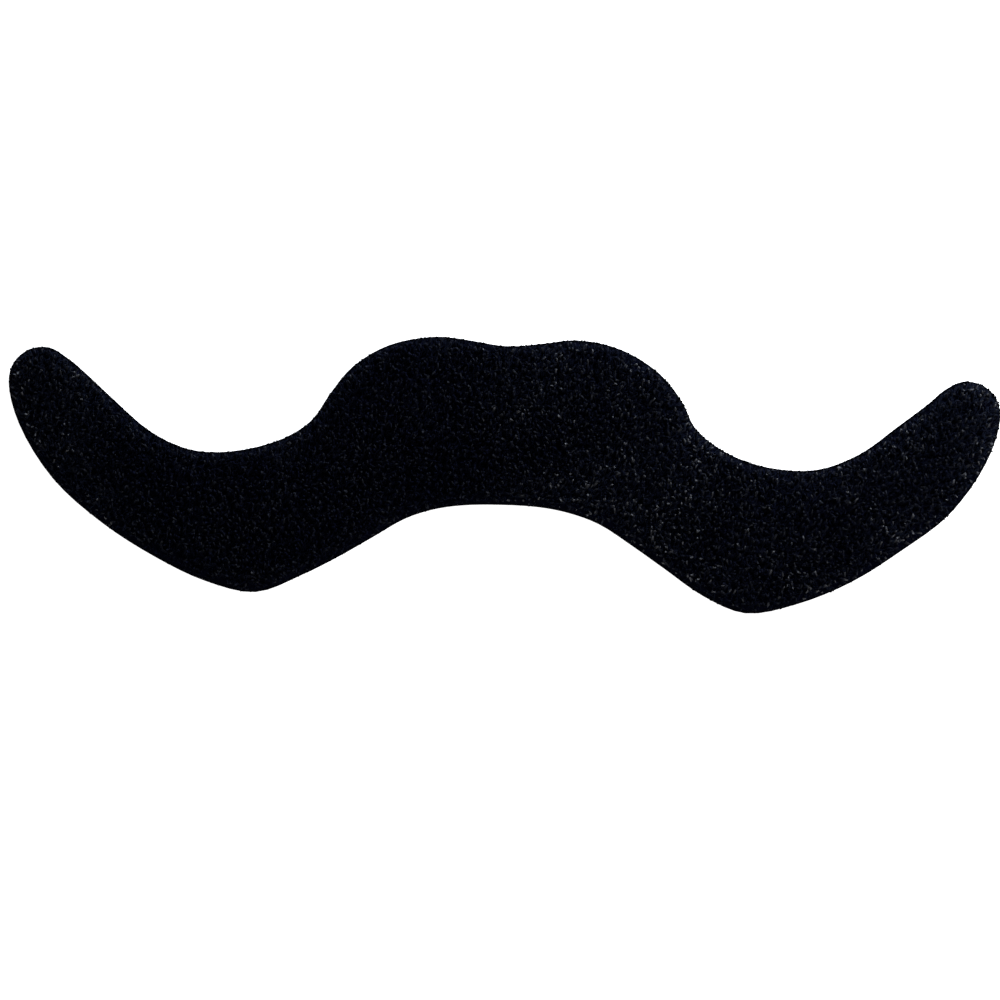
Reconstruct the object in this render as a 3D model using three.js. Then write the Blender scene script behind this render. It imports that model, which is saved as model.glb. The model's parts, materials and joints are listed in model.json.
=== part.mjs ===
// A stick-on false moustache, as it lies on its back: a wavy strip of short black
// pile cloth, die-cut in one piece, on the self-adhesive sheet that holds it to the
// upper lip.
//
// Millimetres. +X runs to the viewer's right, +Y up the wearer's face and +Z out of
// the pile. The adhesive sheet's free face is at z = 0, and the origin there is the
// middle of the moustache's outline.

import * as THREE from "three";

// The outline's driving sizes.
const SPAN = 120; // tip to tip
const SWING = 15.4; // climb of the strip's middle line, from the lobes to the tips
const BREADTH = 19.1; // of the strip at its middle cut
const TIP_RADIUS = 4; // of the round end of each wing
const TIP_SWEEP = 140; // degrees of arc round each end
const TIP_HEADING = 65; // degrees above level that each wing points at its end

// The pile cloth.
const GROUND_THICKNESS = 0.6; // of the knitted ground that carries the pile
const PILE_HEIGHT = 2.2; // above the ground, at the edge of the crown
const CROWN = 0.3; // more pile height along the middle of the strip
const SHOULDER_RADIUS = 1.4; // of the pile where it turns down at the cut edge
const PILE_OVERHANG = 0.35; // of the pile past the ground's cut edge

// The adhesive sheet.
const ADHESIVE_THICKNESS = 0.5;
const ADHESIVE_MARGIN = 0.5; // of bare ground round the sheet
const GLUE_GAP = 0.1; // between the sheet and the ground

// How finely the curves are stepped.
const TIP_STEPS = 2; // from a wing's last cut to its tip
const EDGE_STEPS = 4; // along the outline, between two points of it
const SHOULDER_STEPS = 4;
const OVERHANG_STEPS = 2;
const CROWN_STEPS = 6; // across the strip

// The strip's outline is taken through a row of cuts across it. The middle cut stands
// upright, and each wing has its own row, from beside the middle to its round end.
//   across   how far out the cut's midpoint lies, as a share of the round end's distance
//   rise     how far above the lobes it lies, as a share of SWING
//   breadth  of the strip along the cut, as a share of BREADTH
//   lean     degrees that the cut's upper end leans outwards
// A wing's tipRise is the same share for the centre of its round end.
const MIDDLE_CUT = { across: 0, rise: 0.77, breadth: 1, lean: 0 };
const LEFT_WING = {
  side: -1,
  tipRise: 1,
  cuts: [
    { across: 0.08, rise: 0.78, breadth: 1.04, lean: -1 },
    { across: 0.15, rise: 0.77, breadth: 1.09, lean: 1 },
    { across: 0.23, rise: 0.69, breadth: 1.1, lean: 7 },
    { across: 0.3, rise: 0.53, breadth: 1.08, lean: 9 },
    { across: 0.36, rise: 0.34, breadth: 1.03, lean: 5 },
    { across: 0.42, rise: 0.15, breadth: 0.98, lean: -2 },
    { across: 0.5, rise: 0, breadth: 0.98, lean: -8 },
    { across: 0.61, rise: -0.02, breadth: 0.83, lean: -9 },
    { across: 0.71, rise: 0.07, breadth: 0.71, lean: -15 },
    { across: 0.81, rise: 0.26, breadth: 0.65, lean: -26 },
    { across: 0.91, rise: 0.56, breadth: 0.63, lean: -33 },
    { across: 0.98, rise: 0.87, breadth: 0.52, lean: -48 },
  ],
};
const RIGHT_WING = {
  side: 1,
  tipRise: 0.98,
  cuts: [
    { across: 0.08, rise: 0.78, breadth: 1.03, lean: -1 },
    { across: 0.15, rise: 0.78, breadth: 1.09, lean: 1 },
    { across: 0.23, rise: 0.71, breadth: 1.11, lean: 5 },
    { across: 0.31, rise: 0.54, breadth: 1.11, lean: 6 },
    { across: 0.37, rise: 0.35, breadth: 1.06, lean: 4 },
    { across: 0.43, rise: 0.14, breadth: 1.06, lean: -5 },
    { across: 0.51, rise: -0.01, breadth: 1.02, lean: -9 },
    { across: 0.61, rise: -0.02, breadth: 0.88, lean: -14 },
    { across: 0.72, rise: 0.07, breadth: 0.74, lean: -19 },
    { across: 0.82, rise: 0.27, breadth: 0.66, lean: -26 },
    { across: 0.91, rise: 0.53, breadth: 0.64, lean: -32 },
    { across: 0.98, rise: 0.83, breadth: 0.52, lean: -46 },
  ],
};

// How far the centre of each round end lies from the middle.
const TIP_DISTANCE = SPAN / 2 - TIP_RADIUS;

// Where a cut meets the strip's upper and lower edges.
function cutEnds(side, cut) {
  const lean = THREE.MathUtils.degToRad(cut.lean);
  const midpoint = new THREE.Vector3(side * cut.across * TIP_DISTANCE, cut.rise * SWING);
  const upwards = new THREE.Vector3(side * Math.sin(lean), Math.cos(lean));
  upwards.multiplyScalar((cut.breadth * BREADTH) / 2);
  return { upper: midpoint.clone().add(upwards), lower: midpoint.clone().sub(upwards) };
}

// Two points of a wing's round end, each turned from its heading by so many degrees.
function tipEnds(wing, turn) {
  const onArc = (degrees) => {
    const angle = THREE.MathUtils.degToRad(degrees);
    return new THREE.Vector3(
      wing.side * (TIP_DISTANCE + TIP_RADIUS * Math.cos(angle)),
      wing.tipRise * SWING + TIP_RADIUS * Math.sin(angle),
    );
  };
  return { upper: onArc(TIP_HEADING + turn), lower: onArc(TIP_HEADING - turn) };
}

// One wing's pairs of edge points, from beside the middle to the last before its tip.
function wingEdges(wing) {
  const pairs = wing.cuts.map((cut) => cutEnds(wing.side, cut));
  for (let step = TIP_STEPS; step > 0; step -= 1)
    pairs.push(tipEnds(wing, ((TIP_SWEEP / 2) * step) / TIP_STEPS));
  return pairs;
}

// The moustache's outline about the origin, anticlockwise from the left tip. Point k
// of its lower edge and point k from the end, on its upper edge, face each other.
function makeOutline() {
  const pairs = [
    ...wingEdges(LEFT_WING).reverse(),
    cutEnds(RIGHT_WING.side, MIDDLE_CUT),
    ...wingEdges(RIGHT_WING),
  ];
  const marks = [
    tipEnds(LEFT_WING, 0).lower,
    ...pairs.map((pair) => pair.lower),
    tipEnds(RIGHT_WING, 0).lower,
    ...pairs.map((pair) => pair.upper).reverse(),
  ];
  const edge = new THREE.CatmullRomCurve3(marks, true, "centripetal");
  const count = marks.length * EDGE_STEPS;
  const points = Array.from({ length: count }, (_, i) => edge.getPoint(i / count));
  const middle = new THREE.Box3().setFromPoints(points).getCenter(new THREE.Vector3());
  return points.map((point) => point.sub(middle));
}

const OUTLINE = makeOutline();

// The outline moved inwards by inset, as a ring of points at one height.
function ring(inset, height) {
  return OUTLINE.map((point, i) => {
    const before = OUTLINE.at(i - 1);
    const after = OUTLINE[(i + 1) % OUTLINE.length];
    const along = after.clone().sub(before).normalize();
    return new THREE.Vector3(
      point.x - along.y * inset,
      point.y + along.x * inset,
      height,
    );
  });
}

// The top ring's points and the ribs between them, one row of corner numbers for each
// pair of facing points. The ribs rise to crown over the middle of a full breadth.
function addRibs(points, topStart, crown) {
  const count = OUTLINE.length;
  const rows = [[topStart]];
  for (let k = 1; k < count / 2; k += 1) {
    const lower = points[topStart + k];
    const upper = points[topStart + count - k];
    const rise = (crown * lower.distanceTo(upper)) / BREADTH;
    const row = [topStart + k];
    for (let j = 1; j < CROWN_STEPS; j += 1) {
      const share = j / CROWN_STEPS;
      const point = lower.clone().lerp(upper, share);
      point.z += rise * (1 - (2 * share - 1) ** 2);
      row.push(points.push(point) - 1);
    }
    rows.push([...row, topStart + count - k]);
  }
  return [...rows, [topStart + count / 2]];
}

// A closed solid from rings that are stacked upwards, with a crowned top.
function ringedSolid(rings, crown) {
  const count = OUTLINE.length;
  const points = rings.flat();
  const faces = [];
  const triangle = (a, b, c) => {
    if (a !== b && b !== c && c !== a) faces.push(a, b, c);
  };
  const quad = (a, b, c, d) => {
    triangle(a, b, c);
    triangle(a, c, d);
  };

  for (let r = 0; r + 1 < rings.length; r += 1)
    for (let i = 0; i < count; i += 1) {
      const next = (i + 1) % count;
      quad(r * count + i, r * count + next, (r + 1) * count + next, (r + 1) * count + i);
    }

  for (let k = 0; k < count / 2; k += 1)
    quad(k + 1, k, (count - k) % count, count - k - 1);

  const rows = addRibs(points, (rings.length - 1) * count, crown);
  for (let k = 0; k + 1 < rows.length; k += 1)
    for (let j = 0; j < CROWN_STEPS; j += 1) {
      const corner = (row, column) => row[Math.min(column, row.length - 1)];
      quad(
        corner(rows[k], j),
        corner(rows[k + 1], j),
        corner(rows[k + 1], j + 1),
        corner(rows[k], j + 1),
      );
    }

  const geometry = new THREE.BufferGeometry().setFromPoints(points);
  geometry.setIndex(faces);
  geometry.computeVertexNormals();
  return geometry;
}

function named(name, geometry, material) {
  const mesh = new THREE.Mesh(geometry, material);
  mesh.name = name;
  return mesh;
}

// The adhesive sheet: flat, and set in from the ground's cut edge all round.
function adhesiveSheet() {
  const inset = PILE_OVERHANG + ADHESIVE_MARGIN;
  return named(
    "adhesive_sheet",
    ringedSolid([ring(inset, 0), ring(inset, ADHESIVE_THICKNESS)], 0),
    new THREE.MeshStandardMaterial({ color: 0xe8e4d8, roughness: 0.55, metalness: 0 }),
  );
}

// The pile cloth: its ground's cut edge, the pile that leans out over it, the round
// shoulder of the pile and its crown.
function pileCloth() {
  const bottom = ADHESIVE_THICKNESS + GLUE_GAP;
  const groundTop = bottom + GROUND_THICKNESS;
  const pileTop = groundTop + PILE_HEIGHT;
  const shoulder = Math.min(SHOULDER_RADIUS, PILE_HEIGHT);
  const widest = pileTop - shoulder;

  const rings = [ring(PILE_OVERHANG, bottom)];
  for (let step = 0; step < OVERHANG_STEPS; step += 1) {
    const angle = ((Math.PI / 2) * step) / OVERHANG_STEPS;
    rings.push(
      ring(
        PILE_OVERHANG * (1 - Math.sin(angle)),
        groundTop + (widest - groundTop) * (1 - Math.cos(angle)),
      ),
    );
  }
  for (let step = 0; step <= SHOULDER_STEPS; step += 1) {
    const angle = ((Math.PI / 2) * step) / SHOULDER_STEPS;
    rings.push(
      ring(shoulder * (1 - Math.cos(angle)), widest + shoulder * Math.sin(angle)),
    );
  }
  return named(
    "pile_cloth",
    ringedSolid(rings, CROWN),
    new THREE.MeshStandardMaterial({ color: 0x07080c, roughness: 0.95, metalness: 0 }),
  );
}

const moustache = new THREE.Group();
moustache.add(adhesiveSheet(), pileCloth());

export default moustache;
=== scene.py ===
"""A stick-on moustache of short black plush, laid flat on a white table and seen from straight above."""

import json
import logging
import math
import random
from collections.abc import Callable, Iterator
from contextlib import contextmanager
from dataclasses import dataclass, field
from enum import Enum

import bmesh
import bpy
import numpy as np
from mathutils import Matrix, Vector

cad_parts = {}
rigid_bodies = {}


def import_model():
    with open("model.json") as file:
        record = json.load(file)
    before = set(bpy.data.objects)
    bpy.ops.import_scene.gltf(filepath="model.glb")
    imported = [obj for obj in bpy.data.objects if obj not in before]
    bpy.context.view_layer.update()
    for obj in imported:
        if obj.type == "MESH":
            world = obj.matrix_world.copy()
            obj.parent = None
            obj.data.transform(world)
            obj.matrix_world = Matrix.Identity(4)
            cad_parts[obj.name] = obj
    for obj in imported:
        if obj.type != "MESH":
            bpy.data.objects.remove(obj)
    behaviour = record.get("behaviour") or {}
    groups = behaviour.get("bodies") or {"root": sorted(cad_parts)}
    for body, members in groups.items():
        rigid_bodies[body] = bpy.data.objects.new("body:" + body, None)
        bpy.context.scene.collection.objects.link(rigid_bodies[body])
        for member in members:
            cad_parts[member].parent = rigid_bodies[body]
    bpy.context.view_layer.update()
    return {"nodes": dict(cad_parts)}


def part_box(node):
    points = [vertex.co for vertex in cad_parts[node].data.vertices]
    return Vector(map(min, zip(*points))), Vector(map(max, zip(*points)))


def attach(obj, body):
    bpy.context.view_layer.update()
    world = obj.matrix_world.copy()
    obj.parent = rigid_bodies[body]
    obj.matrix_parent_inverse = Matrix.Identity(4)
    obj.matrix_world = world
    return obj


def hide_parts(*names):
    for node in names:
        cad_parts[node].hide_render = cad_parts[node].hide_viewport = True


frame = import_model()

MM = 0.001
MERGE = 0.001 * MM
BODY = "root"

# What each point of a fibre stores: its fibre's number, its tuft's number, how near the rim the tuft
# stands, how high the point is in it, and how far outside the ground's edge.
FIBRE = "fibre"
TUFT = "tuft"
RIM = "rim"
TIP = "tip"
HEM = "hem"

# A single fibre's number is from 0 to SINGLE, and a locked one's is LOCK.
SINGLE = 0.8
LOCK = 1.0

NOISE_MEAN = 0.5

# A face is part of the underside where its normal's Z is this or less.
UNDERSIDE = -0.9

Colour = tuple[float, float, float, float]

log = logging.getLogger("moustache")


class Wire:
    """A node's output socket, whose arithmetic adds the nodes that work it out."""

    def __init__(self, graph: "Graph", socket: bpy.types.NodeSocket) -> None:
        """Wraps one output socket of a graph."""
        self.graph = graph
        self.socket = socket

    def is_vector(self) -> bool:
        """Whether the socket carries a vector."""
        return self.socket.type == "VECTOR"

    def worked(self, operation: str, *operands: "Wire | float") -> "Wire":
        """Adds a Math node, or a Vector Math node where an operand is a vector's wire.

        Args:
            operation: The node's operation.
            operands: The values or wires of its sockets, in order.

        Returns:
            The node's result.
        """
        vector = any(isinstance(operand, Wire) and operand.is_vector() for operand in operands)
        kind = "ShaderNodeVectorMath" if vector else "ShaderNodeMath"
        return self.graph.add(kind, {"operation": operation}, dict(enumerate(operands)))

    def __add__(self, other: "Wire | float") -> "Wire":
        """Self plus other."""
        return self.worked("ADD", self, other)

    def __sub__(self, other: "Wire | float") -> "Wire":
        """Self minus other."""
        return self.worked("SUBTRACT", self, other)

    def __rsub__(self, other: float) -> "Wire":
        """Other minus self."""
        return self.worked("SUBTRACT", other, self)

    def __mul__(self, other: "Wire | float") -> "Wire":
        """Self times a number; a vector is scaled."""
        if self.is_vector():
            return self.graph.add("ShaderNodeVectorMath", {"operation": "SCALE"}, {0: self, "Scale": other})
        return self.worked("MULTIPLY", self, other)

    def __rmul__(self, other: float) -> "Wire":
        """A number times self."""
        return self * other

    def __truediv__(self, other: "Wire | float") -> "Wire":
        """Self divided by a number."""
        return self.worked("DIVIDE", self, other)

    def clamped(self, low: float = 0.0, high: float = 1.0) -> "Wire":
        """Self, kept between low and high."""
        return self.worked("MINIMUM", self.worked("MAXIMUM", self, low), high)

    def sine(self) -> "Wire":
        """The sine of self, in radians."""
        return self.worked("SINE", self)

    def root(self) -> "Wire":
        """The square root of self."""
        return self.worked("SQRT", self)

    def fading(self, reach: float) -> "Wire":
        """1 where self is 0, and less by a factor of e for each reach that self grows."""
        return self.worked("EXPONENT", self * (-1.0 / reach))

    def normalised(self) -> "Wire":
        """A vector of self's direction, one long."""
        return self.graph.add("ShaderNodeVectorMath", {"operation": "NORMALIZE"}, {0: self})

    def length(self) -> "Wire":
        """How long a vector is."""
        return self.graph.add("ShaderNodeVectorMath", {"operation": "LENGTH"}, {0: self}, "Value")

    def between(self, low: float, high: float) -> "Wire":
        """0 where self is low or less, 1 where it is high or more, and even between them."""
        sockets = {"Value": self, "From Min": low, "From Max": high}
        return self.graph.add("ShaderNodeMapRange", {"clamp": True}, sockets)

    def spanned(self, low: float, high: float) -> "Wire":
        """Low where self is 0, high where it is 1, and even between them."""
        return self * (high - low) + low

    def along(self, axis: str) -> "Wire":
        """A vector's number along one axis."""
        return self.graph.add("ShaderNodeSeparateXYZ", {}, {0: self}, axis)


@dataclass(frozen=True)
class Noise:
    """One kind of smooth noise.

    Attributes:
        scale: How many waves it has to the metre.
        detail: How many finer layers lie on them.
        roughness: How strong each layer is beside the one before.
    """

    scale: float
    detail: float = 2.0
    roughness: float = 0.5


class Graph:
    """A shader's or a modifier's node tree, written as expressions."""

    def __init__(self, tree: bpy.types.NodeTree) -> None:
        """Wraps a node tree."""
        self.tree = tree

    @staticmethod
    def find(sockets: bpy.types.bpy_prop_collection, key: int | str) -> bpy.types.NodeSocket:
        """A socket by its number, or the first one in use by its name."""
        if isinstance(key, int):
            return sockets[key]
        return next(socket for socket in sockets if socket.enabled and socket.name == key)

    def add(
        self,
        kind: str,
        settings: dict | None = None,
        sockets: dict | None = None,
        output: int | str | None = None,
    ) -> Wire:
        """Adds a node.

        Args:
            kind: The node's type.
            settings: Its own properties, set first. A ramp's stops are a list of (place, colour).
            sockets: The values or wires of its input sockets, by number or name.
            output: The number or name of the output that is returned, the first in use by default.

        Returns:
            The chosen output.
        """
        node = self.tree.nodes.new(kind)
        for name, value in (settings or {}).items():
            if name == "stops":
                self.set_stops(node.color_ramp, value)
            else:
                setattr(node, name, value)
        for key, value in (sockets or {}).items():
            socket = self.find(node.inputs, key)
            if isinstance(value, Wire):
                self.tree.links.new(value.socket, socket)
            else:
                socket.default_value = value
        if output is None:
            return Wire(self, next(socket for socket in node.outputs if socket.enabled))
        return Wire(self, self.find(node.outputs, output))

    @staticmethod
    def set_stops(ramp: bpy.types.ColorRamp, stops: list[tuple[float, Colour]]) -> None:
        """Gives a colour ramp its stops."""
        while len(ramp.elements) < len(stops):
            ramp.elements.new(1.0)
        for element, (place, colour) in zip(ramp.elements, stops, strict=True):
            element.position = place
            element.color = colour

    def mixed(self, share: Wire | float, low: "Wire | Colour", high: "Wire | Colour") -> Wire:
        """The colour that is low where share is 0 and high where it is 1."""
        settings = {"data_type": "RGBA", "blend_type": "MIX"}
        return self.add("ShaderNodeMix", settings, {"Factor": share, "A": low, "B": high}, "Result")

    def place(self, scale: tuple[float, float, float] = (1.0, 1.0, 1.0), turn: float = 0.0) -> Wire:
        """Object coordinates, scaled, and turned about Z by so many degrees."""
        coordinates = self.add("ShaderNodeTexCoord", output="Object")
        sockets = {"Vector": coordinates, "Scale": scale, "Rotation": (0.0, 0.0, math.radians(turn))}
        return self.add("ShaderNodeMapping", {}, sockets)

    def attribute(self, name: str) -> Wire:
        """The number that a mesh stores under a name."""
        return self.add("ShaderNodeAttribute", {"attribute_name": name}, output="Fac")

    def combined(self, **axes: Wire | float) -> Wire:
        """A vector of the numbers along X, Y and Z, 0 where one is left out."""
        return self.add("ShaderNodeCombineXYZ", {}, axes)

    def noise(self, at: Wire, noise: Noise) -> Wire:
        """Smooth noise from 0 to 1, with a mean of NOISE_MEAN."""
        sockets = {"Vector": at, "Scale": noise.scale, "Detail": noise.detail, "Roughness": noise.roughness}
        return self.add("ShaderNodeTexNoise", {}, sockets, "Fac")


class Paint:
    """A material with one Principled shader, and the graph that feeds it."""

    def __init__(self, name: str) -> None:
        """Makes an empty material of that name."""
        self.material = bpy.data.materials.new(name)
        self.material.use_nodes = True
        self.graph = Graph(self.material.node_tree)
        self.shader = self.material.node_tree.nodes["Principled BSDF"]

    def set(self, **values: "Wire | float | Colour") -> None:
        """Sets the shader's sockets, named with underscores for spaces."""
        for name, value in values.items():
            socket = self.shader.inputs[name.replace("_", " ")]
            if isinstance(value, Wire):
                self.graph.tree.links.new(value.socket, socket)
            else:
                socket.default_value = value

    def bump(self, height: Wire, depth: float) -> None:
        """Raises the surface by height times depth, in metres."""
        sockets = {"Height": height, "Distance": depth, "Strength": 1.0}
        self.set(Normal=self.graph.add("ShaderNodeBump", {}, sockets))


@dataclass(frozen=True)
class Lightening:
    """How much lighter a fibre is for its own random tone and patches, and for the painted light and shade
    where it stands.

    Attributes:
        own: For its own number.
        rim: As painted sheen at the rim.
        patch: In the pile's lighter patches.
        painted_end_light: As painted light towards the moustache's ends.
        turned: As painted shade left of the parting, where the nap lies away from the light; it counts
            against the lightening.
        start: Everywhere.
    """

    own: float
    rim: float
    patch: float
    painted_end_light: float
    turned: float
    start: float

    def total(self, own: Wire, rim: Wire, patch: Wire, painted_end_light: Wire, turned: Wire) -> Wire:
        """All of it together, from 0 to 1."""
        placed = rim * self.rim + patch * self.patch + painted_end_light * self.painted_end_light + turned * self.turned
        return (own * self.own + placed + self.start).clamped()


@dataclass(frozen=True)
class FibreFinish:
    """Black fibres, with locks among them whose ends are from black to grey; the lighter lock ends are
    painted glints, and painted sheen and shade lie over the rim, the ends and the outline.

    Attributes:
        shaded: The painted shade of a fibre's end at the outline, as though turned from the light.
        black: A single fibre's own near-black colour, which shows most under the painted shade left of the
            parting.
        sheen_and_tone: A bluer, lighter colour that a single fibre takes for its own random tone and
            patches, and as painted sheen at the rim, the ends and right of the parting.
        locks: The colours of the locks' ends, from the darkest to the lightest; the lighter ones are
            painted glints.
        lit_from: Where a lock's end begins to take its painted glint, as a share of its height.
        lit_to: Where the painted glint is full.
        single_light: What gives a single fibre more of its bluer colour, by random tone and by painted
            sheen and shade.
        lock_light: What makes a lock's end lighter, by random tone and by painted glints, sheen and shade.
        patches: The noise that makes the lighter patches.
        patch_range: The noise at which a patch begins, and at which it is full.
        clumps: The noise that makes neighbouring locks alike.
        clumping: How much of that is in a lock's own number.
        roughness: How rough a fibre is.
        gloss: Its specular level.
        shine: The coat of the lightest ends.
        shiny: How light an end is where it begins to shine, and where it shines most.
        shine_roughness: How rough that coat is.
        hem: How far outside the ground's edge a fibre begins to take the painted shade of the outline, and
            where that is darkest.
        parting: How wide the parting is in the middle, left of which the fibres take painted shade, as
            their nap lies away from the light.
        ends: How far from the middle the painted light of the ends begins, and where it is full.
    """

    shaded: Colour = (0.0002, 0.0003, 0.0008, 1.0)
    black: Colour = (0.0027, 0.0034, 0.0094, 1.0)
    sheen_and_tone: Colour = (0.0104, 0.0138, 0.0268, 1.0)
    locks: tuple[tuple[float, Colour], ...] = (
        (0.0, (0.0031, 0.0038, 0.0103, 1.0)),
        (0.35, (0.0066, 0.0074, 0.0133, 1.0)),
        (0.62, (0.0110, 0.0119, 0.0172, 1.0)),
        (0.86, (0.0156, 0.0166, 0.0215, 1.0)),
        (0.97, (0.0228, 0.0240, 0.0295, 1.0)),
        (1.0, (0.0560, 0.0570, 0.0650, 1.0)),
    )
    lit_from: float = 0.22
    lit_to: float = 0.52
    single_light: Lightening = Lightening(
        own=0.2, rim=0.85, patch=0.3, painted_end_light=0.5, turned=-0.22, start=-0.08
    )
    lock_light: Lightening = Lightening(
        own=1.0, rim=0.28, patch=0.26, painted_end_light=0.05, turned=-0.29, start=-0.13
    )
    patches: Noise = Noise(140.0, detail=1.0)
    patch_range: tuple[float, float] = (0.38, 0.66)
    clumps: Noise = Noise(700.0, detail=3.0)
    clumping: float = 0.6
    roughness: float = 0.45
    gloss: float = 0.01
    shine: float = 0.5
    shiny: tuple[float, float] = (0.90, 1.0)
    shine_roughness: float = 0.25
    hem: tuple[float, float] = (0.06 * MM, 0.26 * MM)
    parting: float = 12.0 * MM
    ends: tuple[float, float] = (42.0 * MM, 58.0 * MM)

    def material(self) -> bpy.types.Material:
        """The fibres' material."""
        paint = Paint("pile_fibre")
        graph = paint.graph
        strand, tuft, rim, tip, away = (graph.attribute(name) for name in (FIBRE, TUFT, RIM, TIP, HEM))
        # Painted shade along the outline, where the locks lose their painted glint too.
        lit = 1.0 - away.between(*self.hem)
        # Painted glint: the upper part of each lock's end is lighter.
        lock = strand.between(SINGLE, LOCK) * tip.between(self.lit_from, self.lit_to) * lit
        patch = graph.noise(graph.place(), self.patches).between(*self.patch_range)
        clump = tuft + (graph.noise(graph.place(), self.clumps) - NOISE_MEAN) * self.clumping
        across = graph.place().along("X")
        # Painted shade left of the parting, and painted light towards the ends.
        left = 1.0 - across.between(-self.parting / 2, self.parting / 2)
        painted_end_light = across.worked("ABSOLUTE", across).between(*self.ends)
        turned = left * (1.0 - painted_end_light)
        # Bluer colour by random tone and patches, plus painted sheen at the rim and the ends.
        sheen_and_tone_share = self.single_light.total(strand, rim, patch, painted_end_light, turned)
        shade = self.lock_light.total(clump, rim, patch, painted_end_light, turned)
        dark = graph.mixed(lit, self.shaded, graph.mixed(sheen_and_tone_share, self.black, self.sheen_and_tone))
        # The locks' end colours; the lighter ones are painted glints.
        light = graph.add("ShaderNodeValToRGB", {"stops": list(self.locks)}, {"Fac": shade}, "Color")
        paint.set(
            Base_Color=graph.mixed(lock, dark, light),
            Roughness=self.roughness,
            Specular_IOR_Level=self.gloss,
            Coat_Weight=lock * shade.between(*self.shiny) * self.shine,
            Coat_Roughness=self.shine_roughness,
        )
        return paint.material


@dataclass(frozen=True)
class ClothFinish:
    """The pile's dark bed over a black knitted ground.

    Attributes:
        bed: The foot of the pile at the rim, where it is low, darker there as painted shade.
        depth: The foot of the pile further in.
        inner: How high above the ground the foot begins to have that colour, and where it has.
        blend: How far above and below the ground's top the pile's colour and its yarn's blend.
        yarn: The ground's yarn.
        hollow: The ground between its loops, darker as painted shade.
        wale: The width of one column of loops.
        course: The height of one row of loops.
        bow: How far round its row a loop bows, in radians.
        row_share: How much of the knit's pattern its rows make, and its columns the rest.
        fuzz: The noise of the yarn's own fibres.
        knit_light: How much the knit's pattern lightens the yarn's loops over the painted shade between
            them.
        fuzz_light: How much the fuzz does.
        relief: How far the loops stand out.
        fuzz_relief: How far the fuzz does, as a share of that.
        roughness: How rough the cloth is.
        gloss: Its specular level.
    """

    bed: Colour = (0.0003, 0.0005, 0.0020, 1.0)
    depth: Colour = (0.0014, 0.0018, 0.0075, 1.0)
    inner: tuple[float, float] = (0.5 * MM, 0.7 * MM)
    blend: float = 0.1 * MM
    yarn: Colour = (0.012, 0.012, 0.014, 1.0)
    hollow: Colour = (0.003, 0.003, 0.004, 1.0)
    wale: float = 0.9 * MM
    course: float = 0.7 * MM
    bow: float = 1.6
    row_share: float = 0.6
    fuzz: Noise = Noise(9000.0, detail=3.0)
    knit_light: float = 0.8
    fuzz_light: float = 0.3
    relief: float = 0.12 * MM
    fuzz_relief: float = 0.35
    roughness: float = 0.9
    gloss: float = 0.02

    def material(self, ground_top: float) -> bpy.types.Material:
        """The cloth's material.

        Args:
            ground_top: The height at which the ground ends and the pile begins.

        Returns:
            The material.
        """
        paint = Paint("pile_ground")
        graph = paint.graph
        place = graph.place((math.pi / self.wale, math.pi / self.course, 1.0))
        across = place.along("X").sine()
        columns = across * across
        loops = (place.along("Y") + columns * self.bow).sine()
        knit = (loops * loops * self.row_share + columns * (1.0 - self.row_share)).clamped()
        fuzz = graph.noise(graph.place(), self.fuzz)
        # Painted shade in the hollows between the knit's loops.
        light = (knit * self.knit_light + fuzz * self.fuzz_light).clamped()
        yarn = graph.mixed(light, self.hollow, self.yarn)
        height = place.along("Z") - ground_top
        # Painted shade: the pile's foot is darker where it is low, at the rim.
        foot = graph.mixed(height.between(*self.inner), self.bed, self.depth)
        paint.set(
            Base_Color=graph.mixed(height.between(-self.blend, self.blend), yarn, foot),
            Roughness=self.roughness,
            Specular_IOR_Level=self.gloss,
        )
        paint.bump(knit + fuzz * self.fuzz_relief, self.relief)
        return paint.material


@dataclass(frozen=True)
class AdhesiveFinish:
    """An off-white self-adhesive film with a faint grain.

    Attributes:
        film: The clear film.
        cloudy: The film where it is clouded.
        clouds: The noise of the clouds.
        cloud_range: The noise at which a cloud begins, and at which it is full.
        grain: The noise of the grain.
        stretch: How much finer the grain is along each axis.
        turn: How far the grain is turned, in degrees.
        roughness: How rough the film is in the grain's hollows, and on its heights.
        gloss: Its specular level.
        relief: How high the grain is.
        cloud_relief: How high the clouds are, as a share of that.
    """

    film: Colour = (0.80, 0.77, 0.68, 1.0)
    cloudy: Colour = (0.70, 0.665, 0.57, 1.0)
    clouds: Noise = Noise(120.0, detail=3.0, roughness=0.6)
    cloud_range: tuple[float, float] = (0.3, 0.7)
    grain: Noise = Noise(2600.0, detail=3.0, roughness=0.6)
    stretch: tuple[float, float, float] = (1.0, 2.2, 1.0)
    turn: float = 35.0
    roughness: tuple[float, float] = (0.32, 0.54)
    gloss: float = 0.45
    relief: float = 0.02 * MM
    cloud_relief: float = 0.6

    def material(self) -> bpy.types.Material:
        """The film's material."""
        paint = Paint("adhesive_film")
        graph = paint.graph
        cloud = graph.noise(graph.place(), self.clouds)
        grain = graph.noise(graph.place(self.stretch, self.turn), self.grain)
        paint.set(
            Base_Color=graph.mixed(cloud.between(*self.cloud_range), self.film, self.cloudy),
            Roughness=grain.spanned(*self.roughness),
            Specular_IOR_Level=self.gloss,
        )
        paint.bump(grain + cloud * self.cloud_relief, self.relief)
        return paint.material


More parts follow.
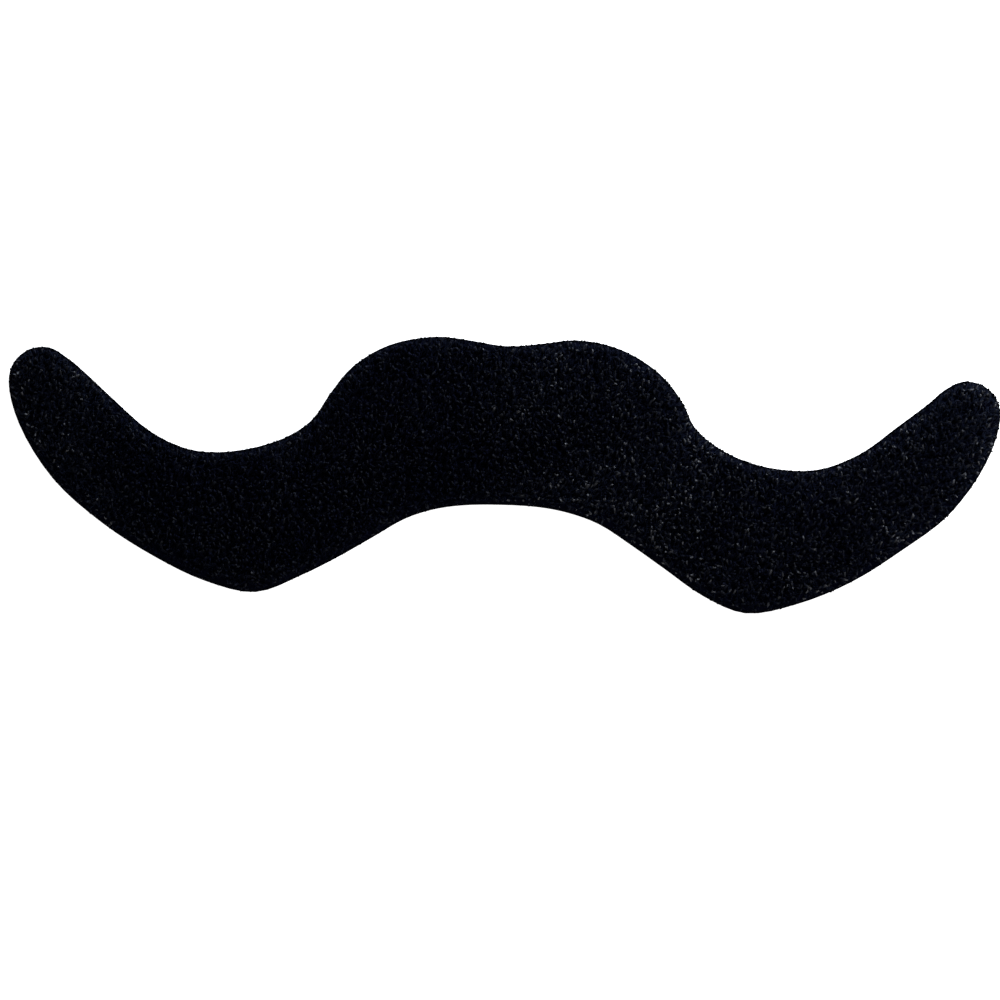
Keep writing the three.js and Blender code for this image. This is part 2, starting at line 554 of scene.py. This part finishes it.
@dataclass(frozen=True)
class TableFinish:
    """A white light table, lit a little from within.

    Attributes:
        white: Its colour.
        glow: The strength of its own light.
        roughness: How rough it is.
        gloss: Its specular level.
    """

    white: Colour = (0.90, 0.90, 0.90, 1.0)
    glow: float = 1.1
    roughness: float = 0.85
    gloss: float = 0.1

    def material(self) -> bpy.types.Material:
        """The table's material."""
        paint = Paint("white_table")
        paint.set(
            Base_Color=self.white,
            Roughness=self.roughness,
            Specular_IOR_Level=self.gloss,
            Emission_Color=self.white,
            Emission_Strength=self.glow,
        )
        return paint.material


@contextmanager
def editing(piece: bpy.types.Object, mode: str = "FACE") -> Iterator[bmesh.types.BMesh]:
    """Opens one piece alone in edit mode.

    Args:
        piece: The piece to edit.
        mode: The select mode, VERT, EDGE or FACE.

    Yields:
        The piece's edit mesh, with nothing selected.
    """
    bpy.ops.object.select_all(action="DESELECT")
    piece.select_set(True)
    bpy.context.view_layer.objects.active = piece
    bpy.ops.object.mode_set(mode="EDIT")
    bpy.ops.mesh.select_mode(type=mode)
    bpy.ops.mesh.select_all(action="DESELECT")
    try:
        yield bmesh.from_edit_mesh(piece.data)
    finally:
        bpy.ops.object.mode_set(mode="OBJECT")


def select_faces(piece: bpy.types.Object, wanted: Callable[[bmesh.types.BMFace], bool]) -> None:
    """Selects the faces of a piece in edit mode that a test picks by place or normal."""
    mesh = bmesh.from_edit_mesh(piece.data)
    for face in mesh.faces:
        face.select_set(wanted(face))
    bmesh.update_edit_mesh(piece.data)


def new_piece(name: str, mesh: bpy.types.Mesh) -> bpy.types.Object:
    """An object at the origin that holds a mesh."""
    piece = bpy.data.objects.new(name, mesh)
    bpy.context.scene.collection.objects.link(piece)
    return piece


def copy_of_node(name: str, node: str) -> bpy.types.Object:
    """A copy of a CAD node, with its loose triangles merged.

    Args:
        name: The copy's name.
        node: The node's name.

    Returns:
        The copy.
    """
    mesh = frame["nodes"][node].data.copy()
    mesh.materials.clear()
    piece = new_piece(name, mesh)
    with editing(piece):
        bpy.ops.mesh.select_all(action="SELECT")
        bpy.ops.mesh.remove_doubles(threshold=MERGE)
    return piece


def triangles(piece: bpy.types.Object) -> int:
    """How many triangles a piece has."""
    piece.data.calc_loop_triangles()
    return len(piece.data.loop_triangles)


def finished(piece: bpy.types.Object, material: bpy.types.Material | None) -> None:
    """Dresses a piece, fixes it to the moustache's body and reports it.

    Args:
        piece: The finished piece.
        material: Its material, or None where it already has one.
    """
    if material is not None:
        piece.data.materials.clear()
        piece.data.materials.append(material)
    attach(piece, BODY)
    log.info("%s: %d triangles", piece.name, triangles(piece))


@dataclass
class PlushCloth:
    """The cut cloth: a knitted ground and the dense foot of its pile.

    Attributes:
        ground: The ground's thickness.
        bed_share: How much of the pile's height its dense foot fills.
        bed_swell: How far the foot swells past the pile's outer form.
        edge_round: The rounding of the ground's cut edge.
        edge_steps: How many faces the rounding has.
        smooth_below: The angle, in degrees, up to which the cloth's faces are shaded as one.
        finish: What the cloth looks like.
    """

    ground: float = 0.6 * MM
    bed_share: float = 0.35
    bed_swell: float = 0.06 * MM
    edge_round: float = 0.12 * MM
    edge_steps: int = 2
    smooth_below: float = 50.0
    finish: ClothFinish = field(default_factory=ClothFinish)

    def __post_init__(self) -> None:
        """Takes the cloth's heights from the frame."""
        low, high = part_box("pile_cloth")
        self.bottom = low.z
        self.ground_top = low.z + self.ground
        self.flat = (high.x - low.x, high.y - low.y)

    def build(self) -> bpy.types.Object:
        """The cloth, in place of its CAD node."""
        cloth = copy_of_node("plush_cloth", "pile_cloth")
        with editing(cloth, "EDGE") as mesh:
            for edge in mesh.edges:
                flat = all(abs(vert.co.z - self.bottom) < MERGE for vert in edge.verts)
                edge.select_set(flat and any(face.normal.z > UNDERSIDE for face in edge.link_faces))
            bpy.ops.mesh.bevel(offset=self.edge_round, segments=self.edge_steps, profile=0.5)
        with editing(cloth, "VERT") as mesh:
            for vert in mesh.verts:
                vert.select_set(vert.co.z > self.ground_top + MERGE)
            mesh.select_flush(True)
            bpy.ops.transform.shrink_fatten(value=self.bed_swell)
            bpy.ops.transform.resize(
                value=(1.0, 1.0, self.bed_share), center_override=(0.0, 0.0, self.ground_top)
            )
        with editing(cloth):
            bpy.ops.mesh.select_all(action="SELECT")
            bpy.ops.mesh.normals_make_consistent(inside=False)
        bpy.ops.object.shade_smooth_by_angle(angle=math.radians(self.smooth_below))
        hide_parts("pile_cloth")
        finished(cloth, self.finish.material(self.ground_top))
        return cloth

    def patch(self) -> bpy.types.Object:
        """The ground's upper face, on which the fibres stand."""
        patch = copy_of_node("pile_patch", "pile_cloth")
        with editing(patch):
            select_faces(patch, lambda face: face.normal.z > UNDERSIDE)
            bpy.ops.mesh.delete(type="FACE")
            bpy.ops.mesh.select_all(action="SELECT")
            bpy.ops.mesh.flip_normals()
            bpy.ops.transform.translate(value=(0.0, 0.0, self.ground_top - self.bottom))
        return patch

    def rim(self) -> bpy.types.Object:
        """The edge of the patch, as a bare loop of edges."""
        rim = self.patch()
        rim.name = "pile_rim"
        with editing(rim, "EDGE"):
            bpy.ops.mesh.select_all(action="SELECT")
            bpy.ops.mesh.region_to_loop()
            bpy.ops.mesh.select_all(action="INVERT")
            bpy.ops.mesh.delete(type="EDGE")
        return rim


class Stretch(Enum):
    """A stretch of the moustache whose fibres are one piece, by where it ends as shares of the span."""

    LEFT_TIP = (-0.51, -0.335)
    LEFT_WING = (-0.335, -0.175)
    LEFT_MIDDLE = (-0.175, 0.0)
    RIGHT_MIDDLE = (0.0, 0.175)
    RIGHT_WING = (0.175, 0.335)
    RIGHT_TIP = (0.335, 0.51)


@dataclass
class Tuft:
    """A few fibres that stand together, modelled once and planted many times.

    Attributes:
        singles: How many of its fibres stand by themselves.
        locked: How many cling together in a lock.
        height: How high they stand.
        spread: How far from the middle the single fibres' roots are.
        lock_spread: How far from the middle the locked fibres' roots are.
        splay: How far from upright a single fibre's end leans.
        lock_splay: How far from upright a lock's end leans.
        thickness: A single fibre's diameter at its root.
        lock_thickness: The diameter of each of the strands that a lock is made of.
        blunt: How thick a lock's cut end is, as a share of its knee.
        lock_height: How high a lock stands, as a share of a single fibre's height.
        loosened: How much each of a lock's strands strays by itself, as a share of a single fibre's lean.
        shortest: How high the shortest fibre stands, as a share of the tallest.
        knee_lean: How much of its lean a fibre has at its knee.
        knee_height: How high its knee is, as a share of its height.
        knee_width: How thick it is there, as a share of its root.
        bend: How far its knee strays, as a share of the splay.
        sides: How many sides it has.
    """

    singles: int = 6
    locked: int = 2
    height: float = 2.2 * MM
    spread: float = 0.23 * MM
    lock_spread: float = 0.11 * MM
    splay: float = 0.28 * MM
    lock_splay: float = 0.50 * MM
    thickness: float = 0.125 * MM
    lock_thickness: float = 0.28 * MM
    blunt: float = 0.80
    lock_height: float = 0.94
    loosened: float = 0.15
    shortest: float = 0.90
    knee_lean: float = 0.35
    knee_height: float = 0.58
    knee_width: float = 0.85
    bend: float = 0.15
    sides: int = 3

    def model(self, name: str, dice: random.Random) -> bpy.types.Object:
        """Models one tuft.

        Args:
            name: Its name.
            dice: The seeded source of its irregularity.

        Returns:
            The tuft, standing on the origin.
        """
        tuft = new_piece(name, bpy.data.meshes.new(name))
        numbers: list[float] = []
        shared = self.stray(dice, self.lock_splay)
        with editing(tuft):
            for fibre in range(self.singles + self.locked):
                single = fibre < self.singles
                own = self.stray(dice, self.splay)
                lean = own if single else shared + own * self.loosened
                self.add_fibre(dice, lean, single)
                grown = len(bmesh.from_edit_mesh(tuft.data).verts)
                number = dice.uniform(0.0, SINGLE) if single else LOCK
                numbers += [number] * (grown - len(numbers))
            bpy.ops.mesh.select_all(action="SELECT")
            bpy.ops.mesh.normals_make_consistent(inside=False)
            bpy.ops.mesh.faces_shade_smooth()
        heights = [vert.co.z / self.height for vert in tuft.data.vertices]
        for attribute, values in ((FIBRE, numbers), (TIP, heights)):
            tuft.data.attributes.new(attribute, "FLOAT", "POINT").data.foreach_set("value", values)
        return tuft

    @staticmethod
    def stray(dice: random.Random, reach: float) -> Vector:
        """A random sideways step of about that reach."""
        return Vector((dice.gauss(0.0, reach), dice.gauss(0.0, reach), 0.0))

    def add_fibre(self, dice: random.Random, lean: Vector, single: bool) -> None:
        """Adds one tapered, bent fibre to the tuft that is being edited.

        Args:
            dice: The source of its irregularity.
            lean: Where its end lies sideways from its root.
            single: Whether it stands by itself and ends in a point, or is part of the
                lock, which has cut ends.
        """
        angle = dice.uniform(0.0, math.tau)
        reach = (self.spread if single else self.lock_spread) * math.sqrt(dice.random())
        thickness = self.thickness if single else self.lock_thickness
        root = Vector((reach * math.cos(angle), reach * math.sin(angle), 0.0))
        bend = self.stray(dice, self.splay) * self.bend
        height = self.height * dice.uniform(self.shortest, 1.0) * (1.0 if single else self.lock_height)
        knee = lean * self.knee_lean + bend + Vector((0.0, 0.0, height * self.knee_height))
        end = lean * (1.0 - self.knee_lean) - bend + Vector((0.0, 0.0, height * (1.0 - self.knee_height)))
        bpy.ops.mesh.select_all(action="DESELECT")
        bpy.ops.mesh.primitive_circle_add(
            vertices=self.sides, radius=thickness / 2, fill_type="NGON", location=root
        )
        bpy.ops.mesh.extrude_region_move(TRANSFORM_OT_translate={"value": knee})
        bpy.ops.transform.resize(value=(self.knee_width,) * 3, center_override=root + knee)
        bpy.ops.mesh.extrude_region_move(TRANSFORM_OT_translate={"value": end})
        if single:
            bpy.ops.mesh.merge(type="CENTER")
        else:
            bpy.ops.transform.resize(value=(self.blunt,) * 3, center_override=root + knee + end)


class Throw(Enum):
    """What the dice are thrown for at each tuft, by its step of the seed."""

    SPIN = 1
    WIDTH = 2
    KIND = 3
    LIGHTNESS = 4
    SIDEWAYS = 5
    UPWARDS = 6
    HEIGHT = 7


@dataclass
class Pile:
    """The plush's fibres, planted over the ground in a few pieces side by side.

    Attributes:
        cloth: The cloth that they stand on.
        tuft: The tuft that is planted.
        kinds: How many different tufts are modelled.
        spacing: The least distance between two tufts.
        crowding: How many tufts are tried on each square metre.
        overhang: How far the pile leans out past the ground's edge.
        fringe: How far the ends of its fibres stand out from its form.
        splay: How far out the fibres at the edge would lean, had they not been cut.
        splay_reach: How far from the edge that has faded by a factor of e.
        widest: The height above the ground at which it leans out furthest.
        shoulder: The radius of the pile's rounding at its edge.
        crown: How much higher the pile stands along the strip's middle line.
        crown_reach: How far from the edge it reaches its full height.
        left_nap: How far to the right and up the fibres' ends are brushed at the left tip.
        right_nap: The same at the right tip.
        waves: The noise that the nap is brushed in, stronger and weaker.
        edge_nap: How much of the nap the edge has.
        tousle: How far a fibre's end strays from its place.
        edge_tousle: How much of that the edge has.
        widths: How wide a tuft is at the least and at the most, as a share of what was modelled.
        heights: How high it is at the least and at the most, as a share of the pile.
        seed: The seed of all that is irregular.
        finish: What the fibres look like.
    """

    cloth: PlushCloth
    tuft: Tuft = field(default_factory=Tuft)
    kinds: int = 6
    spacing: float = 0.36 * MM
    crowding: float = 2.4e7
    overhang: float = 0.35 * MM
    fringe: float = 0.11 * MM
    splay: float = 0.60 * MM
    splay_reach: float = 1.8 * MM
    widest: float = 0.8 * MM
    shoulder: float = 1.4 * MM
    crown: float = 0.3 * MM
    crown_reach: float = 9.0 * MM
    left_nap: tuple[float, float] = (0.57 * MM, 0.62 * MM)
    right_nap: tuple[float, float] = (0.27 * MM, 0.81 * MM)
    waves: Noise = Noise(90.0)
    edge_nap: float = 0.3
    tousle: float = 0.30 * MM
    edge_tousle: float = 0.25
    widths: tuple[float, float] = (0.85, 1.15)
    heights: tuple[float, float] = (0.95, 1.0)
    seed: int = 7
    finish: FibreFinish = field(default_factory=FibreFinish)

    def build(self) -> list[bpy.types.Object]:
        """The pile's pieces, from left to right."""
        dice = random.Random(self.seed)
        tufts = bpy.data.collections.new("tufts")
        for kind in range(self.kinds):
            tuft = self.tuft.model(f"tuft_{kind}", dice)
            bpy.context.scene.collection.objects.unlink(tuft)
            tufts.objects.link(tuft)
        rim = self.cloth.rim()
        group = self.planting(tufts, rim)
        pieces = [self.plant(stretch, group) for stretch in Stretch]

        bpy.data.node_groups.remove(group)
        for helper in [*tufts.objects, rim]:
            bpy.data.meshes.remove(helper.data)
        bpy.data.collections.remove(tufts)
        return pieces

    def plant(self, stretch: Stretch, group: bpy.types.NodeTree) -> bpy.types.Object:
        """Plants the fibres of one stretch.

        Args:
            stretch: Which stretch.
            group: The planting's node group.

        Returns:
            The piece.
        """
        piece = self.cloth.patch()
        piece.name = f"pile_{stretch.name.lower()}"
        piece.data.name = piece.name
        modifier = piece.modifiers.new("planting", "NODES")
        modifier.node_group = group
        span = self.cloth.flat[0]
        for socket, share in zip(self.limits(group), stretch.value, strict=True):
            modifier[socket.identifier] = share * span
        bpy.ops.object.select_all(action="DESELECT")
        piece.select_set(True)
        bpy.context.view_layer.objects.active = piece
        bpy.ops.object.modifier_apply(modifier=modifier.name)
        finished(piece, None)
        return piece

    @staticmethod
    def limits(group: bpy.types.NodeTree) -> list[bpy.types.NodeTreeInterfaceSocket]:
        """The group's two inputs for where a stretch begins and ends."""
        return [item for item in group.interface.items_tree if item.name in ("From", "To")]

    def planting(self, tufts: bpy.types.Collection, rim: bpy.types.Object) -> bpy.types.NodeTree:
        """The node group that plants tufts on a patch.

        Args:
            tufts: The tufts to choose from.
            rim: The edge of the whole patch.

        Returns:
            The group.
        """
        group = bpy.data.node_groups.new("planting", "GeometryNodeTree")
        group.interface.new_socket("Patch", in_out="INPUT", socket_type="NodeSocketGeometry")
        for name in ("From", "To"):
            group.interface.new_socket(name, in_out="INPUT", socket_type="NodeSocketFloat")
        group.interface.new_socket("Pile", in_out="OUTPUT", socket_type="NodeSocketGeometry")
        graph = Graph(group)
        entry = group.nodes.new("NodeGroupInput")
        patch, start, end = (Wire(graph, entry.outputs[name]) for name in ("Patch", "From", "To"))

        points = graph.add(
            "GeometryNodeDistributePointsOnFaces",
            {"distribute_method": "POISSON"},
            {"Mesh": patch, "Distance Min": self.spacing, "Density Max": self.crowding, "Seed": self.seed},
            "Points",
        )
        at = graph.add("GeometryNodeInputPosition")
        across = at.along("X")
        outside = across.worked("GREATER_THAN", across, end) + across.worked("LESS_THAN", across, start)
        points = graph.add(
            "GeometryNodeDeleteGeometry", {"domain": "POINT"}, {0: points, "Selection": outside}
        )

        edge = graph.add("GeometryNodeObjectInfo", {}, {"Object": rim}, "Geometry")
        near = {"target_element": "EDGES"}
        nearest = graph.add("GeometryNodeProximity", near, {0: edge}, "Position")
        inside = graph.add("GeometryNodeProximity", near, {0: edge}, "Distance")
        fibre = self.fibre_vector(graph, at, nearest, inside)

        spin = graph.add(
            "FunctionNodeAxisAngleToRotation",
            {},
            {"Axis": (0.0, 0.0, 1.0), "Angle": self.chance(graph, 0.0, math.tau, Throw.SPIN)},
        )
        turned = graph.add(
            "FunctionNodeAlignRotationToVector", {"axis": "Z"}, {"Rotation": spin, "Vector": fibre}
        )
        width = self.chance(graph, *self.widths, Throw.WIDTH)
        size = graph.combined(X=width, Y=width, Z=fibre.length() / self.tuft.height)
        kinds = graph.add(
            "GeometryNodeCollectionInfo",
            {},
            {"Collection": tufts, "Separate Children": True, "Reset Children": True},
        )
        which = graph.add(
            "FunctionNodeRandomValue",
            {"data_type": "INT"},
            {"Min": 0, "Max": self.kinds - 1, "Seed": self.seed + Throw.KIND.value},
        )
        planted = graph.add(
            "GeometryNodeInstanceOnPoints",
            {},
            {
                "Points": self.stored(graph, points, RIM, inside.fading(self.splay_reach), "POINT"),
                "Instance": kinds,
                "Pick Instance": True,
                "Instance Index": which,
                "Rotation": turned,
                "Scale": size,
            },
        )
        lightness = self.chance(graph, 0.0, 1.0, Throw.LIGHTNESS)
        planted = self.stored(graph, planted, TUFT, lightness, "INSTANCE")
        realised = graph.add("GeometryNodeRealizeInstances", {}, {0: planted})
        away, kept = self.trimmed(graph, at, patch)
        hemmed = self.stored(graph, realised, HEM, away, "POINT")
        trimmed = graph.add("GeometryNodeSetPosition", {}, {0: hemmed, "Position": kept})
        dressed = graph.add("GeometryNodeSetMaterial", {}, {0: trimmed, "Material": self.finish.material()})
        leave = group.nodes.new("NodeGroupOutput")
        group.links.new(dressed.socket, leave.inputs[0])
        return group

    @staticmethod
    def stored(graph: Graph, shape: Wire, name: str, value: Wire, domain: str) -> Wire:
        """The shape with a named number on each of its points or instances."""
        settings = {"data_type": "FLOAT", "domain": domain}
        sockets = {0: shape, "Name": name, "Value": value}
        return graph.add("GeometryNodeStoreNamedAttribute", settings, sockets)

    def chance(self, graph: Graph, low: float, high: float, throw: Throw) -> Wire:
        """A random number for each point, from low to high."""
        sockets = {"Min": low, "Max": high, "Seed": self.seed + throw.value}
        return graph.add("FunctionNodeRandomValue", {"data_type": "FLOAT"}, sockets)

    def trimmed(self, graph: Graph, at: Wire, patch: Wire) -> tuple[Wire, Wire]:
        """Where a fibre's point lies once the pile has been cut to its outline.

        Args:
            graph: The graph to add to.
            at: The point's place.
            patch: The ground's upper face.

        Returns:
            How far the point is outside the ground's edge, and its place, which is moved
            to the outline where the point lay outside that.
        """
        height = at.along("Z") - self.cloth.ground_top
        rise = graph.combined(Z=height)
        foot = at - rise
        faces = {"target_element": "FACES"}
        sockets = {0: patch, "Sample Position": foot}
        nearest = graph.add("GeometryNodeProximity", faces, sockets, "Position")
        away = graph.add("GeometryNodeProximity", faces, sockets, "Distance")
        turn = (height / self.widest * (math.pi / 2)).clamped(0.0, math.pi / 2)
        limit = turn.sine() * (self.overhang + self.fringe)
        kept = away.worked("MINIMUM", away, limit)
        return kept, nearest + (foot - nearest).normalised() * kept + rise

    def fibre_vector(self, graph: Graph, at: Wire, nearest: Wire, inside: Wire) -> Wire:
        """Where a tuft's end lies from its root.

        Near the edge it leans outwards and ends on the pile's rounding, and further in
        it stands nearly upright and is brushed over by the nap.

        Args:
            graph: The graph to add to.
            at: The root's place.
            nearest: The nearest point of the edge.
            inside: How far the root lies from the edge.

        Returns:
            The vector from root to end.
        """
        share = (inside / self.shoulder).clamped()
        outward = inside.fading(self.splay_reach) * self.splay
        covered = ((inside + self.overhang - outward) / self.shoulder).clamped()
        rise = (covered * (2.0 - covered)).root() * self.shoulder
        dome = inside.between(self.shoulder, self.crown_reach)
        height = rise + self.widest + self.crown * dome * (2.0 - dome)

        half = self.cloth.flat[0] / 2
        side = at.along("X").between(-half, half)
        brushed = share.spanned(self.edge_nap, 1.0) * (graph.noise(at, self.waves) / NOISE_MEAN)
        steps = {
            axis: side.spanned(left, right) * brushed
            for axis, left, right in zip("XY", self.left_nap, self.right_nap, strict=True)
        }
        nap = graph.combined(**steps)
        stray = share.spanned(self.edge_tousle, 1.0) * self.tousle
        tousle = graph.combined(
            X=stray * self.chance(graph, -1.0, 1.0, Throw.SIDEWAYS),
            Y=stray * self.chance(graph, -1.0, 1.0, Throw.UPWARDS),
            Z=height * self.chance(graph, *self.heights, Throw.HEIGHT),
        )
        return (nearest - at).normalised() * outward + nap + tousle


@dataclass
class AdhesiveSheet:
    """The self-adhesive sheet under the cloth, which stays as it is in the frame.

    Attributes:
        finish: What the sheet looks like.
    """

    finish: AdhesiveFinish = field(default_factory=AdhesiveFinish)

    def dress(self) -> bpy.types.Object:
        """Gives the sheet its material."""
        sheet = frame["nodes"]["adhesive_sheet"]
        sheet.data.materials.clear()
        sheet.data.materials.append(self.finish.material())
        log.info("%s: %d triangles", sheet.name, triangles(sheet))
        return sheet


@dataclass(frozen=True)
class Lamp:
    """A square soft light that faces the moustache.

    Attributes:
        place: Where it stands.
        size: Its side.
        power: Its power, in watts.
        colour: Its colour.
    """

    place: tuple[float, float, float]
    size: float
    power: float
    colour: tuple[float, float, float] = (1.0, 1.0, 1.0)

    def add(self, name: str) -> None:
        """Adds the light to the scene, under that name."""
        bpy.ops.object.light_add(type="AREA", location=self.place)
        light = bpy.context.active_object
        light.name = name
        light.rotation_euler = (-Vector(self.place)).to_track_quat("-Z", "Y").to_euler()
        light.data.size = self.size
        light.data.energy = self.power
        light.data.color = self.colour


@dataclass
class Studio:
    """A white table under soft light, and a camera that looks straight down.

    Attributes:
        aim: The point at the middle of the picture, at the pile's widest height.
        picture_width: What the picture is wide there.
        lens: The camera's focal length, in its sensor's millimetres.
        roll: How far the camera is turned, in degrees.
        near: The distance from which the camera sees.
        table: The table's side.
        table_gap: How far the table lies below the moustache.
        key: The light from the upper right of the picture.
        rim: The low, bluish light from its top.
        fill: The light from its foot.
        sky: The strength of the light from all round.
        sky_colour: The colour of that light.
        finish: What the table looks like.
    """

    aim: tuple[float, float, float] = (-0.12 * MM, -3.48 * MM, 2.0 * MM)
    picture_width: float = 120.9 * MM
    lens: float = 200.0
    roll: float = 2.0
    near: float = 0.01
    table: float = 1.6
    table_gap: float = 0.02 * MM
    key: Lamp = Lamp((0.20, 0.13, 0.19), size=0.16, power=0.72)
    rim: Lamp = Lamp((0.12, 0.31, 0.065), size=0.12, power=2.2, colour=(0.74, 0.86, 1.0))
    fill: Lamp = Lamp((0.08, -0.42, 0.16), size=0.30, power=0.45)
    sky: float = 0.18
    sky_colour: Colour = (0.92, 0.95, 1.0, 1.0)
    finish: TableFinish = field(default_factory=TableFinish)

    def build(self) -> None:
        """Lays the table and sets up the lights, the sky and the camera."""
        bpy.ops.object.select_all(action="DESELECT")
        bpy.ops.mesh.primitive_plane_add(size=self.table, location=(0.0, 0.0, -self.table_gap))
        table = bpy.context.active_object
        table.name = "table"
        bpy.ops.object.transform_apply(location=True, rotation=True, scale=True)
        table.data.materials.append(self.finish.material())

        self.key.add("key_light")
        self.rim.add("rim_light")
        self.fill.add("fill_light")

        world = bpy.data.worlds.new("sky")
        world.use_nodes = True
        background = world.node_tree.nodes["Background"]
        background.inputs["Color"].default_value = self.sky_colour
        background.inputs["Strength"].default_value = self.sky
        scene = bpy.context.scene
        scene.world = world
        scene.view_settings.view_transform = "Standard"
        scene.camera = self.make_camera()

    def make_camera(self) -> bpy.types.Object:
        """A camera above the aim, as far off as makes the picture as wide as it should be."""
        bpy.ops.object.camera_add()
        camera = bpy.context.active_object
        camera.name = "camera"
        camera.data.lens = self.lens
        away = self.picture_width * self.lens / camera.data.sensor_width
        camera.location = Vector(self.aim) + Vector((0.0, 0.0, away))
        camera.rotation_euler = (0.0, 0.0, math.radians(self.roll))
        camera.data.clip_start = self.near
        return camera


def main() -> None:
    """Builds the moustache and its studio."""
    logging.basicConfig(level=logging.INFO, format="%(name)s %(message)s")
    studio = Studio()
    studio.build()

    cloth = PlushCloth()
    base = cloth.build()
    pile = Pile(cloth).build()
    sheet = AdhesiveSheet().dress()


if __name__ == "__main__":
    main()
